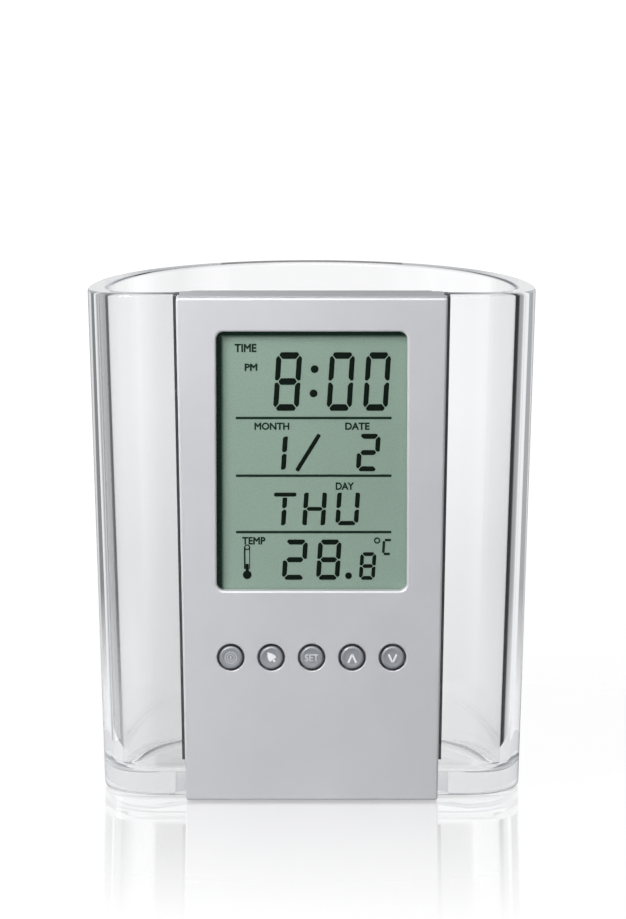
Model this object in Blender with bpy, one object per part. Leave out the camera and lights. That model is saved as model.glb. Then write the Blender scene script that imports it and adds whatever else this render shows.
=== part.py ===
"""Table clock with pen holder.

A clear D-shaped cup whose flat front wall has a slot. A slim clock with a display,
five buttons and two button cells slides down into that slot from above.
Metres, +Z up, the front looks along -Y, origin at the bottom centre of the whole.
"""

import math

import bpy
import bmesh
from mathutils import Vector

# Clear cup
cup_height = 0.105
cup_top_radius = 0.0463
cup_side_draft = 0.0030
cup_centre_setback = 0.0098
cup_corner_radius = 0.0112
cup_wall = 0.0040
cup_floor = 0.0042
cup_floor_fillet = 0.0026
cup_rim_round = 0.0007
cup_foot_round = 0.0009
cup_corner_steps = 9
cup_back_steps = 40
round_steps = 3
smooth_limit_degrees = 35

# Clock outline, seen from the front
clock_bottom = 0.0003
clock_corner = 0.0006
clock_side_slope_share = 0.01624
holder_side_gap = 0.00036
holder_top_gap = 0.00035

# Clock depths, from the panel's front face
clock_proud = 0.0055
panel_thickness = 0.0020
panel_edge_bevel = 0.0005
shell_wall = 0.0015
slot_overlap = 0.0015
flange_reach = 0.0008
flange_edge_bevel = 0.0004
tongue_thickness = 0.0013
hook_width = 0.0080
hook_height = 0.0009
hook_depth = 0.0012
hook_spacing = 0.0260

# Fits
clearance = 0.0003
glue_line = 0.0001
overrun = 0.0010
fine_corner = 0.0001

# Display
window_half = 0.0195
window_corner = 0.0016
window_bevel = 0.0005
glass_thickness = 0.0010
glass_margin = 0.0023
glass_corner = 0.0003
reflector_thickness = 0.0002
reflector_inset = 0.0005
contact_ledge = 0.0027
holder_wall = 0.0009
holder_ledge = 0.0018
holder_depth = 0.0034
connector_thickness = 0.0014
connector_end_inset = 0.0028

# Circuit board
board_thickness = 0.0010
board_side_gap = 0.0004
board_pocket_gap = 0.0006
board_top_gap = 0.0024
board_holder_gap = 0.0004
chip_radius = 0.0052
chip_height = 0.0011
dome_steps = 5
crystal_radius = 0.0010
crystal_length = 0.0062
crystal_lead_radius = 0.00025
crystal_lead_length = 0.0025
sensor_radius = 0.0009
sensor_length = 0.0026
chip_x = -0.0065
crystal_x = 0.0098
crystal_drop = 0.0130
sensor_side_inset = 0.0061
sensor_rise = 0.0052

# Buttons
button_count = 5
button_end_inset = 0.00286
button_rise = 0.00534
button_radius = 0.00235
button_proud = 0.00035
button_edge_round = 0.00045
button_hole_gap = 0.00045
button_hole_bevel = 0.00025
button_flange_reach = 0.0008
button_flange_thickness = 0.0008
button_travel = 0.0005
button_segments = 24
pad_thickness = 0.0008
pad_margin = 0.0032
pad_half_height = 0.0041
pad_corner = 0.0007
pad_dome_radius = 0.0024
pad_dome_crown = 0.0016
pad_hollow_radius = 0.0013
pad_roof = 0.0006

# Sound holes and sounder
sounder_radius = 0.0070
sounder_thickness = 0.0004
sounder_drop = 0.0012
sound_hole_radius = 0.0006
sound_hole_ring = 0.0030
sound_hole_count = 6

# Battery
cell_radius = 0.0058
cell_height = 0.0054
cell_button_radius = 0.0047
cell_button_step = 0.0003
cell_edge_round = 0.0003
cell_side_gap = 0.0006
cell_middle_gap = 0.0012
cell_panel_gap = 0.0008
cell_door_gap = 0.0010
pocket_lift = 0.0025
cell_segments = 32
pocket_wall = 0.0012
pocket_floor = 0.0012
contact_thickness = 0.0002
contact_half_width = 0.0024
contact_tail_half = 0.0011
contact_lap = 0.0012
door_thickness = 0.0012
door_ledge = 0.0014
door_corner = 0.0012
door_scoop_radius = 0.0048
door_scoop_depth = 0.0005
door_latch_half = 0.0030
door_latch_length = 0.0009
door_latch_thickness = 0.0008
bridge_thickness = 0.0002
bridge_stud_radius = 0.0005

# Screws
screw_row_gap = 0.001055
case_screw_lower_rise = 0.0045
case_screw_inset = 0.0044
case_screw_radius = 0.0009
case_screw_reach = 0.0066
case_screw_head_radius = 0.0017
case_screw_head_height = 0.0010
case_screw_sink = 0.0002
case_post_radius = 0.0021
board_screw_spacing = 0.0240
board_screw_radius = 0.0007
board_screw_reach = 0.0028
board_screw_head_radius = 0.0014
board_screw_head_height = 0.0009
board_post_radius = 0.0017
screw_segments = 20
hole_segments = 20
drive_arm_share = 0.62
drive_width_share = 0.26
drive_depth_share = 0.55
head_edge_share = 0.33

# Places that follow from the sizes above, front to back
total_depth = button_proud + clock_proud + cup_centre_setback + cup_top_radius
panel_front_y = button_proud - total_depth / 2
wall_front_y = panel_front_y + clock_proud
cup_centre_y = wall_front_y + cup_centre_setback
bezel_depth = clock_proud - clearance
housing_front = clock_proud
flange_front = clock_proud + cup_wall + clearance
flange_inner = flange_front + clearance
glass_front = panel_thickness + clearance
board_front = glass_front + holder_depth + board_holder_gap
board_back = board_front + board_thickness
case_post_depth = board_back + glue_line
button_flange_front = panel_thickness + clearance
button_flange_back = button_flange_front + button_flange_thickness
dome_front = button_flange_back + button_travel + clearance
pad_back = board_front - clearance
pad_front = pad_back - pad_thickness
pocket_front = panel_thickness + cell_panel_gap
pocket_inner = pocket_front + pocket_floor
contact_front = pocket_inner + glue_line
cell_front = contact_front + contact_thickness + glue_line
cell_back = cell_front + cell_height
door_front = cell_back + cell_door_gap
clock_depth = door_front + door_thickness

# Places that follow, from the floor upwards
slot_sill = cup_floor
housing_bottom = slot_sill + clearance
case_screw_lower_height = housing_bottom + case_screw_lower_rise
pocket_low = housing_bottom + pocket_lift
cell_centre_height = pocket_low + cell_side_gap + cell_radius
pocket_high = cell_centre_height + cell_radius + cell_side_gap
pocket_roof = pocket_high + pocket_wall
board_bottom = pocket_roof + board_pocket_gap
contact_tail_top = board_bottom + contact_lap
button_height = pocket_roof + button_rise + pad_half_height
screw_row_height = button_height + pad_half_height + screw_row_gap + case_post_radius
holder_margin = glass_margin + clearance + holder_wall
holder_bottom = screw_row_height + case_post_radius + screw_row_gap
window_bottom = holder_bottom + holder_margin
clock_top = cup_height
tongue_bottom = clock_top - tongue_thickness
housing_top = tongue_bottom - clearance
window_top = housing_top - shell_wall - holder_top_gap - holder_margin
display_middle = (window_bottom + window_top) / 2
sounder_height = display_middle - sounder_drop

# Half widths that follow, from the middle outwards
button_row_half = window_half - button_end_inset
button_hole_radius = button_radius + button_hole_gap
cell_offset = cell_radius + cell_middle_gap / 2
pocket_half = cell_offset + cell_radius + cell_side_gap
holder_half = window_half + holder_margin
sensor_x = holder_half - sensor_side_inset
neck_inset = slot_overlap + clearance
clock_base_half = holder_half + holder_side_gap + shell_wall + neck_inset


def clear_scene():
    for old in list(bpy.data.objects):
        bpy.data.objects.remove(old, do_unlink=True)


def plastic(name, colour, roughness, metallic=0.0, alpha=1.0, transmission=0.0):
    made = bpy.data.materials.new(name)
    made.use_nodes = True
    made.diffuse_color = (*colour, alpha)
    shader = made.node_tree.nodes["Principled BSDF"]
    shader.inputs["Base Color"].default_value = (*colour, 1.0)
    shader.inputs["Roughness"].default_value = roughness
    shader.inputs["Metallic"].default_value = metallic
    shader.inputs["Alpha"].default_value = alpha
    shader.inputs["Transmission Weight"].default_value = transmission
    return made


def add_object(name, mesh_builder, material, parent, helper=False):
    """Turn a filled bmesh into a named object, faces outward and round pieces smooth."""
    bmesh.ops.recalc_face_normals(mesh_builder, faces=mesh_builder.faces)
    mesh = bpy.data.meshes.new(name)
    mesh_builder.to_mesh(mesh)
    mesh_builder.free()
    made = bpy.data.objects.new(name, mesh)
    bpy.context.scene.collection.objects.link(made)
    made.parent = parent
    if helper:
        made.hide_render = True
        made.display_type = "WIRE"
    else:
        mesh.shade_smooth()
        mesh.set_sharp_from_angle(angle=math.radians(smooth_limit_degrees))
        mesh.materials.append(material)
    return made


def loft(name, rings, material=None, parent=None, helper=False):
    """A closed body through rings of equally many points, with flat ends."""
    body = bmesh.new()
    rows = [[body.verts.new(point) for point in ring] for ring in rings]
    for low, high in zip(rows, rows[1:]):
        for i in range(len(low)):
            j = (i + 1) % len(low)
            body.faces.new((low[i], low[j], high[j], high[i]))
    body.faces.new(rows[0])
    body.faces.new(rows[-1])
    return add_object(name, body, material, parent, helper)


def rounded(corners, radius, steps=round_steps):
    """The outline of a convex polygon, given anticlockwise, with each corner an arc."""
    points = []
    for i, corner in enumerate(corners):
        here = Vector(corner)
        back = (Vector(corners[i - 1]) - here).normalized()
        on = (Vector(corners[(i + 1) % len(corners)]) - here).normalized()
        half = back.angle(on) / 2
        centre = here + (back + on).normalized() * (radius / math.sin(half))
        start = here + back * (radius / math.tan(half)) - centre
        sweep = math.pi - 2 * half
        for k in range(steps + 1):
            turn = sweep * k / steps
            x = start.x * math.cos(turn) - start.y * math.sin(turn)
            z = start.x * math.sin(turn) + start.y * math.cos(turn)
            points.append((centre.x + x, centre.y + z))
    return points


def rectangle(left, right, low, high, radius=clock_corner):
    return rounded([(left, low), (right, low), (right, high), (left, high)], radius)


def circle(radius, segments, x=0.0, z=0.0):
    turns = [2 * math.pi * k / segments for k in range(segments)]
    return [(x + radius * math.cos(t), z + radius * math.sin(t)) for t in turns]


def across(outline, depth):
    """Puts an outline of (x, z) points upright, at a depth behind the panel's front."""
    return [(x, depth, z) for x, z in outline]


def plate(name, outline, front, back, material=None, parent=None, helper=False):
    rings = [across(outline, front), across(outline, back)]
    return loft(name, rings, material, parent, helper)


def turned(name, profile, segments, material=None, parent=None, helper=False, x=0.0, z=0.0):
    """A round piece from (depth, radius) pairs along its axis, which runs front to back."""
    rings = [across(circle(radius, segments, x, z), depth) for depth, radius in profile]
    return loft(name, rings, material, parent, helper)


def combine(body, tool, operation):
    change = body.modifiers.new(tool.name, "BOOLEAN")
    change.operation = operation
    change.object = tool
    change.solver = "EXACT"


def cut(body, tool):
    combine(body, tool, "DIFFERENCE")


def join(body, tool):
    combine(body, tool, "UNION")


def clock_half(height):
    """Half the panel's width at a height: the clock narrows downwards with the cup."""
    return clock_base_half + clock_side_slope_share * (height - holder_bottom)


def clock_outline(inset, low, high, radius=clock_corner):
    """The clock's tapered outline between two heights, drawn in at its sides."""
    at_low = clock_half(low) - inset
    at_high = clock_half(high) - inset
    corners = [(-at_low, low), (at_low, low), (at_high, high), (-at_high, high)]
    return rounded(corners, radius)


def cup_outline(height, inset):
    """The cup's plan at a height: flat front, rounded front corners, half-round back."""
    draft = cup_side_draft * (cup_height - height) / cup_height
    back_radius = cup_top_radius - draft - inset
    corner_radius = cup_corner_radius - inset
    corner_y = wall_front_y + inset + corner_radius
    setback = cup_centre_y - corner_y
    corner_x = math.sqrt((back_radius - corner_radius) ** 2 - setback**2)
    join_angle = math.atan2(corner_y - cup_centre_y, corner_x)
    points = []
    for k in range(cup_corner_steps + 1):
        turn = -math.pi / 2 + (join_angle + math.pi / 2) * k / cup_corner_steps
        x = corner_x + corner_radius * math.cos(turn)
        points.append((x, corner_y + corner_radius * math.sin(turn), height))
    for k in range(1, cup_back_steps):
        turn = join_angle + (math.pi - 2 * join_angle) * k / cup_back_steps
        x = back_radius * math.cos(turn)
        points.append((x, cup_centre_y + back_radius * math.sin(turn), height))
    mirrored = [(-x, y, z) for x, y, z in points[cup_corner_steps::-1]]
    return points + mirrored


def edge_arc(radius):
    """(along, inset) pairs of a quarter round, from the side of a wall to its end."""
    turns = [math.pi / 2 * k / round_steps for k in range(round_steps + 1)]
    return [(radius * math.sin(t), radius * (1 - math.cos(t))) for t in turns]


def make_cup(material):
    foot = [(cup_foot_round - rise, inset) for rise, inset in reversed(edge_arc(cup_foot_round))]
    rim_start = cup_height - cup_rim_round
    rim = [(rim_start + rise, inset) for rise, inset in edge_arc(cup_rim_round)]
    cup = loft("cup_body", [cup_outline(z, inset) for z, inset in foot + rim], material)

    floor_arc = [(cup_floor + cup_floor_fillet - drop, cup_wall + inset)
                 for drop, inset in reversed(edge_arc(cup_floor_fillet))]
    mouth = [(rim_start + rise, cup_wall - inset) for rise, inset in edge_arc(cup_rim_round)]
    above = [(cup_height + overrun, cup_wall - cup_rim_round - overrun)]
    inside = loft("cup_inside", [cup_outline(z, inset) for z, inset in floor_arc + mouth + above],
                  helper=True)
    cut(cup, inside)

    slot = clock_outline(slot_overlap, slot_sill, cup_height + overrun)
    cut(cup, plate("cup_slot", slot, wall_front_y - overrun,
                   wall_front_y + cup_wall + cup_floor_fillet, helper=True))


def case_screw_places():
    places = []
    for height in (screw_row_height, case_screw_lower_height):
        x = clock_half(height) - slot_overlap - case_screw_inset
        places += [(-x, height), (x, height)]
    return places


def board_screw_places():
    return [(side * board_screw_spacing / 2, screw_row_height) for side in (-1, 1)]


def button_places():
    pitch = 2 * button_row_half / (button_count - 1)
    return [pitch * k - button_row_half for k in range(button_count)]


def hook_places():
    return [side * hook_spacing / 2 for side in (-1, 1)]


def tongue_half():
    """Half the width of the strip that runs back over the housing."""
    return clock_half(clock_top) - slot_overlap - shell_wall


def add_post(bezel, name, place, radius, depth, screw_radius, clock):
    """A post on the back of the panel, with the blind pilot hole that its screw goes into."""
    x, z = place
    pilot = screw_radius + clearance / 2
    profile = [(panel_thickness / 2, radius), (depth, radius), (depth, pilot),
               (panel_thickness + clearance, pilot)]
    join(bezel, turned(name, profile, hole_segments, parent=clock, helper=True, x=x, z=z))


def make_bezel(material, clock):
    face = clock_outline(panel_edge_bevel, clock_bottom + panel_edge_bevel,
                         clock_top - panel_edge_bevel)
    full = clock_outline(0.0, clock_bottom, clock_top)
    rings = [across(face, 0.0), across(full, panel_edge_bevel), across(full, bezel_depth)]
    bezel = loft("front_bezel", rings, material, clock)

    hollow = clock_outline(shell_wall, clock_bottom + shell_wall, clock_top - shell_wall)
    cut(bezel, plate("bezel_hollow", hollow, panel_thickness, bezel_depth + overrun,
                     parent=clock, helper=True))

    tongue = rectangle(-tongue_half(), tongue_half(), tongue_bottom, clock_top)
    join(bezel, plate("bezel_tongue", tongue, panel_thickness / 2, clock_depth, parent=clock,
                      helper=True))
    for k, x in enumerate(hook_places()):
        pocket = rectangle(x - hook_width / 2 - clearance, x + hook_width / 2 + clearance,
                           tongue_bottom - overrun, tongue_bottom + hook_height - clearance / 2,
                           clearance)
        back = flange_front + hook_depth + 2 * clearance
        cut(bezel, plate(f"hook_pocket_{k}", pocket, flange_front - clearance, back,
                         parent=clock, helper=True))

    flare = window_bevel + overrun
    wide = rectangle(-window_half - flare, window_half + flare, window_bottom - flare,
                     window_top + flare, window_corner + flare)
    narrow = rectangle(-window_half, window_half, window_bottom, window_top, window_corner)
    rings = [across(wide, -overrun), across(narrow, window_bevel),
             across(narrow, panel_thickness + overrun)]
    cut(bezel, loft("window_cut", rings, parent=clock, helper=True))

    flare = button_hole_bevel + overrun
    profile = [(-overrun, button_hole_radius + flare), (button_hole_bevel, button_hole_radius),
               (panel_thickness + overrun, button_hole_radius)]
    for k, x in enumerate(button_places()):
        cut(bezel, turned(f"button_hole_{k}", profile, button_segments, parent=clock, helper=True,
                          x=x, z=button_height))

    for k, place in enumerate(case_screw_places()):
        add_post(bezel, f"case_post_{k}", place, case_post_radius, case_post_depth,
                 case_screw_radius, clock)
    for k, place in enumerate(board_screw_places()):
        add_post(bezel, f"board_post_{k}", place, board_post_radius, board_front - clearance,
                 board_screw_radius, clock)


def make_housing(material, clock):
    reach = -flange_reach
    flange = clock_outline(reach, housing_bottom, clock_top - clearance)
    back = clock_outline(reach + flange_edge_bevel, housing_bottom + flange_edge_bevel,
                         clock_top - clearance - flange_edge_bevel)
    rings = [across(flange, flange_front), across(flange, clock_depth - flange_edge_bevel),
             across(back, clock_depth)]
    housing = loft("rear_housing", rings, material, clock)

    neck = clock_outline(neck_inset, housing_bottom, housing_top - clearance / 2)
    join(housing, plate("housing_neck", neck, housing_front, (flange_front + clock_depth) / 2,
                        parent=clock, helper=True))
    hollow = clock_outline(neck_inset + shell_wall, housing_bottom + shell_wall,
                           housing_top - shell_wall)
    cut(housing, plate("housing_hollow", hollow, housing_front - overrun, flange_inner,
                       parent=clock, helper=True))

    relief_top = cup_floor + cup_floor_fillet + clearance
    relief_half = clock_half(housing_bottom) - neck_inset + clearance / 2
    relief_far = clock_half(relief_top) + 2 * flange_reach
    for k, side in enumerate((-1, 1)):
        near, far = sorted((side * relief_half, side * relief_far))
        relief = rectangle(near, far, housing_bottom - overrun, relief_top)
        cut(housing, plate(f"fillet_relief_{k}", relief, flange_front - overrun,
                           clock_depth + overrun, parent=clock, helper=True))

    notch_half = tongue_half() + clearance
    notch = rectangle(-notch_half, notch_half, housing_top, clock_top + overrun)
    cut(housing, plate("tongue_notch", notch, flange_front - overrun, clock_depth + overrun,
                       parent=clock, helper=True))
    for k, x in enumerate(hook_places()):
        tab = rectangle(x - hook_width / 2, x + hook_width / 2, housing_top - shell_wall / 2,
                        housing_top + hook_height, clearance)
        front = flange_front + clearance / 2
        join(housing, plate(f"hook_{k}", tab, front, front + hook_depth, parent=clock,
                            helper=True))

    outer_half = pocket_half + pocket_wall
    outer = rectangle(-outer_half, outer_half, pocket_low - pocket_wall, pocket_high + pocket_wall,
                      door_corner)
    join(housing, plate("pocket_outer", outer, pocket_front, flange_inner + clearance,
                        parent=clock, helper=True))
    inner = rectangle(-pocket_half, pocket_half, pocket_low, pocket_high)
    cut(housing, plate("pocket_inner", inner, pocket_inner, clock_depth + overrun,
                       parent=clock, helper=True))
    seat = rectangle(-pocket_half - door_ledge, pocket_half + door_ledge, pocket_low - door_ledge,
                     pocket_high + door_ledge, door_corner)
    cut(housing, plate("door_seat", seat, door_front - clearance, clock_depth + overrun,
                       parent=clock, helper=True))
    tail_cut_half = contact_tail_half + clearance
    for k, side in enumerate((-1, 1)):
        x = side * cell_offset
        gap = rectangle(x - tail_cut_half, x + tail_cut_half, pocket_high - overrun,
                        pocket_high + pocket_wall + overrun)
        cut(housing, plate(f"tail_gap_{k}", gap, pocket_inner - overrun,
                           cell_front + clearance, parent=clock, helper=True))

    for k, (x, z) in enumerate(case_screw_places()):
        profile = [(case_post_depth + clearance, case_post_radius),
                   (flange_inner + clearance, case_post_radius)]
        join(housing, turned(f"boss_{k}", profile, hole_segments, parent=clock, helper=True,
                             x=x, z=z))
    for k, (x, z) in enumerate(case_screw_places()):
        shaft = case_screw_radius + clearance
        sink = case_screw_head_radius + clearance
        seat_depth = clock_depth - case_screw_sink - case_screw_head_height - clearance
        profile = [(case_post_depth - overrun, shaft), (seat_depth, shaft), (seat_depth, sink),
                   (clock_depth + overrun, sink)]
        cut(housing, turned(f"screw_hole_{k}", profile, hole_segments, parent=clock, helper=True,
                            x=x, z=z))

    ring = circle(sound_hole_ring, sound_hole_count, 0.0, sounder_height)
    for k, (x, z) in enumerate([(0.0, sounder_height)] + ring):
        profile = [(flange_front, sound_hole_radius), (clock_depth + overrun, sound_hole_radius)]
        cut(housing, turned(f"sound_hole_{k}", profile, hole_segments // 2, parent=clock,
                            helper=True, x=x, z=z))


def make_door(material, clock):
    grow = door_ledge - clearance
    top = pocket_high + grow
    outline = rectangle(-pocket_half - grow, pocket_half + grow, pocket_low - grow, top,
                        door_corner - clearance)
    door = plate("battery_door", outline, door_front, clock_depth, material, clock)
    latch_front = door_front - door_latch_length
    upper_tab = pocket_high - clearance - door_latch_thickness
    lower_tab = pocket_low + clearance
    for name, low in (("upper_latch", upper_tab), ("lower_latch", lower_tab)):
        tab = rectangle(-door_latch_half, door_latch_half, low, low + door_latch_thickness,
                        fine_corner)
        join(door, plate(name, tab, latch_front, door_front + door_thickness / 2, parent=clock,
                         helper=True))
    scoop = circle(door_scoop_radius, cell_segments, 0.0, top)
    cut(door, plate("door_scoop", scoop, clock_depth - door_scoop_depth, clock_depth + overrun,
                    parent=clock, helper=True))


def make_bridge(material, clock):
    """The strip on the door that joins the two cells."""
    half = cell_offset + cell_button_radius / 2
    width = cell_button_radius / 2
    back = door_front - glue_line
    outline = rectangle(-half, half, cell_centre_height - width, cell_centre_height + width)
    strip = plate("door_contact", outline, back - bridge_thickness, back, material, clock)
    for k, side in enumerate((-1, 1)):
        profile = [(cell_back + glue_line, bridge_stud_radius),
                   (back - bridge_thickness / 2, bridge_stud_radius * 2)]
        join(strip, turned(f"bridge_bump_{k}", profile, screw_segments, parent=clock, helper=True,
                           x=side * cell_offset, z=cell_centre_height))


def make_contact(name, side, material, clock):
    """A leaf on the pocket's floor under one cell, with a tail up to the board."""
    x = side * cell_offset
    back = contact_front + contact_thickness
    leaf = rectangle(x - contact_half_width, x + contact_half_width,
                     cell_centre_height - contact_half_width,
                     cell_centre_height + contact_half_width)
    contact = plate(name, leaf, contact_front, back, material, clock)
    tail = rectangle(x - contact_tail_half, x + contact_tail_half, cell_centre_height,
                     contact_tail_top, fine_corner)
    join(contact, plate(name + "_tail", tail, contact_front, back, parent=clock, helper=True))
    foot = rectangle(x - contact_tail_half, x + contact_tail_half,
                     contact_tail_top - contact_thickness, contact_tail_top, fine_corner / 2)
    join(contact, plate(name + "_foot", foot, contact_front, board_front - glue_line,
                        parent=clock, helper=True))


def make_cell(name, side, material, clock):
    """A button cell: a wide can and the narrower button that one contact touches."""
    can_front = cell_front + cell_button_step
    profile = [(cell_front, cell_button_radius), (can_front, cell_button_radius),
               (can_front, cell_radius - cell_edge_round),
               (can_front + cell_edge_round, cell_radius),
               (cell_back - cell_edge_round, cell_radius),
               (cell_back, cell_radius - cell_edge_round)]
    if side > 0:
        profile = [(cell_front + cell_back - depth, radius) for depth, radius in reversed(profile)]
    turned(name, profile, cell_segments, material, clock, x=side * cell_offset,
           z=cell_centre_height)


def make_display(glass, mirror, white, rubber, clock):
    """The two glasses, the reflector behind them, their holder and the striped connector."""
    half = window_half + glass_margin
    low = window_bottom - glass_margin
    high = window_top + glass_margin
    first_back = glass_front + glass_thickness
    second = first_back + glue_line
    second_back = second + glass_thickness
    ledge_top = low + contact_ledge
    front_glass = rectangle(-half, half, low, high, glass_corner)
    plate("lcd_front_glass", front_glass, glass_front, first_back, glass, clock)
    rear_glass = rectangle(-half, half, ledge_top, high, glass_corner)
    plate("lcd_rear_glass", rear_glass, second, second_back, glass, clock)
    inset = reflector_inset
    reflector = rectangle(-half + inset, half - inset, ledge_top + inset, high - inset,
                          glass_corner)
    reflector_front = second_back + glue_line
    reflector_back = reflector_front + reflector_thickness
    plate("lcd_reflector", reflector, reflector_front, reflector_back, mirror, clock)

    pocket_half_width = half + clearance
    outer = rectangle(-holder_half, holder_half, holder_bottom, window_top + holder_margin)
    holder = plate("lcd_holder", outer, glass_front, glass_front + holder_depth, white, clock)
    pocket = rectangle(-pocket_half_width, pocket_half_width, low - clearance, high + clearance,
                       glass_corner)
    cut(holder, plate("holder_pocket", pocket, glass_front - overrun, reflector_back + glue_line,
                      parent=clock, helper=True))
    opening = rectangle(-half + holder_ledge, half - holder_ledge, ledge_top + holder_ledge,
                        high - holder_ledge, window_corner)
    cut(holder, plate("holder_opening", opening, glass_front, glass_front + holder_depth + overrun,
                      parent=clock, helper=True))
    connector_half = half - connector_end_inset
    connector_low = low + (contact_ledge - connector_thickness) / 2
    connector_high = connector_low + connector_thickness
    slot = rectangle(-connector_half - clearance, connector_half + clearance,
                     connector_low - clearance, connector_high + clearance, glass_corner)
    cut(holder, plate("connector_slot", slot, glass_front, glass_front + holder_depth + overrun,
                      parent=clock, helper=True))
    strip = rectangle(-connector_half, connector_half, connector_low, connector_high, fine_corner)
    plate("zebra_strip", strip, first_back + glue_line, board_front - glue_line, rubber, clock)


def make_board(material, clock):
    inset = slot_overlap + clearance + shell_wall + board_side_gap
    outline = clock_outline(inset, board_bottom, tongue_bottom - board_top_gap)
    board = plate("circuit_board", outline, board_front, board_back, material, clock)
    notch_radius = case_post_radius + 2 * clearance
    upper_screw = case_screw_places()[1][0]
    for k, side in enumerate((-1, 1)):
        near, far = sorted((side * (upper_screw - notch_radius), side * clock_half(clock_top)))
        notch = rectangle(near, far, screw_row_height - notch_radius,
                          screw_row_height + notch_radius)
        cut(board, plate(f"board_notch_{k}", notch, board_front - overrun, board_back + overrun,
                         parent=clock, helper=True))
    hole = board_screw_radius + clearance
    profile = [(board_front - overrun, hole), (board_back + overrun, hole)]
    for k, (x, z) in enumerate(board_screw_places()):
        cut(board, turned(f"board_hole_{k}", profile, screw_segments, parent=clock, helper=True,
                          x=x, z=z))


def make_board_parts(resin, metal, bead, clock):
    """What stands on the back of the board: the sealed chip, the crystal and the sensor."""
    seat = board_back + glue_line
    dome_turns = [math.pi / 2 * k / dome_steps for k in range(dome_steps)]
    profile = [(seat + chip_height * math.sin(t), chip_radius * math.cos(t)) for t in dome_turns]
    turned("chip_seal", profile, hole_segments, resin, clock, x=chip_x,
           z=display_middle)

    crystal_z = display_middle - crystal_drop
    can_left = crystal_x - crystal_length / 2
    can_ring = circle(crystal_radius, screw_segments, seat + crystal_radius, crystal_z)
    ends = (can_left, can_left + crystal_length)
    can = [[(x, depth, z) for depth, z in can_ring] for x in ends]
    crystal = loft("quartz_crystal", can, metal, clock)
    for k, side in enumerate((-1, 1)):
        lead_z = crystal_z + side * crystal_radius / 2
        lead = rectangle(can_left - crystal_lead_length, can_left + crystal_radius,
                         lead_z - crystal_lead_radius, lead_z + crystal_lead_radius, fine_corner)
        join(crystal, plate(f"crystal_lead_{k}", lead, seat + crystal_lead_radius,
                            seat + 3 * crystal_lead_radius, parent=clock, helper=True))

    sensor_z = board_bottom + sensor_rise
    bead_rings = []
    for k in range(dome_steps):
        turn = math.pi * (k + 1) / (dome_steps + 1)
        z = sensor_z - sensor_length / 2 * math.cos(turn)
        ring = circle(sensor_radius * math.sin(turn), screw_segments, sensor_x, seat + sensor_radius)
        bead_rings.append([(x, depth, z) for x, depth in ring])
    loft("temperature_sensor", bead_rings, bead, clock)


def make_pad(material, clock):
    half = button_places()[-1] + pad_margin
    outline = rectangle(-half, half, button_height - pad_half_height,
                        button_height + pad_half_height, pad_corner)
    pad = plate("button_pad", outline, pad_front, pad_back, material, clock)
    for k, x in enumerate(button_places()):
        profile = [(dome_front, pad_dome_crown), (pad_front + pad_thickness / 2, pad_dome_radius)]
        join(pad, turned(f"dome_{k}", profile, hole_segments, parent=clock, helper=True,
                         x=x, z=button_height))
    for k, x in enumerate(button_places()):
        profile = [(dome_front + pad_roof, pad_hollow_radius), (pad_back + overrun, pad_hollow_radius)]
        cut(pad, turned(f"dome_hollow_{k}", profile, screw_segments, parent=clock, helper=True,
                        x=x, z=button_height))


def make_button(name, x, material, clock):
    """A round cap with a soft edge and a collar behind the panel that keeps it in."""
    face = [(inset - button_proud, button_radius - button_edge_round + along)
            for along, inset in edge_arc(button_edge_round)]
    collar = button_radius + button_flange_reach
    profile = face + [(button_flange_front, button_radius), (button_flange_front, collar),
                      (button_flange_back, collar)]
    button = turned(name, profile, button_segments, material, clock)
    button.location = (x, 0.0, button_height)


def make_sounder(material, clock):
    back = flange_inner - clearance
    profile = [(back - sounder_thickness, sounder_radius), (back, sounder_radius)]
    turned("sounder_disc", profile, cell_segments, material, clock, z=sounder_height)


def make_screw(name, x, z, seat, reach, radius, head_radius, head_height, material, clock):
    """A pan-head screw driven from the back, with a cross recess in its head."""
    edge = head_height * head_edge_share
    profile = [(seat - reach, radius / 2), (seat - reach + radius, radius), (seat, radius),
               (seat, head_radius), (seat + head_height - edge, head_radius),
               (seat + head_height, head_radius - edge)]
    screw = turned(name, profile, screw_segments, material, clock, x=x, z=z)
    arm = head_radius * drive_arm_share
    width = head_radius * drive_width_share / 2
    recess = seat + head_height * (1 - drive_depth_share)
    for k, (wide, tall) in enumerate(((arm, width), (width, arm))):
        slot = rectangle(x - wide, x + wide, z - tall, z + tall, width / 2)
        cut(screw, plate(f"{name}_drive_{k}", slot, recess, seat + head_height + overrun,
                         parent=clock, helper=True))


def make_screws(material, clock):
    seat = clock_depth - case_screw_sink - case_screw_head_height
    for k, (x, z) in enumerate(case_screw_places()):
        make_screw(f"case_screw_{k + 1}", x, z, seat, case_screw_reach, case_screw_radius,
                   case_screw_head_radius, case_screw_head_height, material, clock)
    for k, (x, z) in enumerate(board_screw_places()):
        make_screw(f"board_screw_{k + 1}", x, z, board_back + glue_line, board_screw_reach,
                   board_screw_radius, board_screw_head_radius, board_screw_head_height,
                   material, clock)


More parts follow.
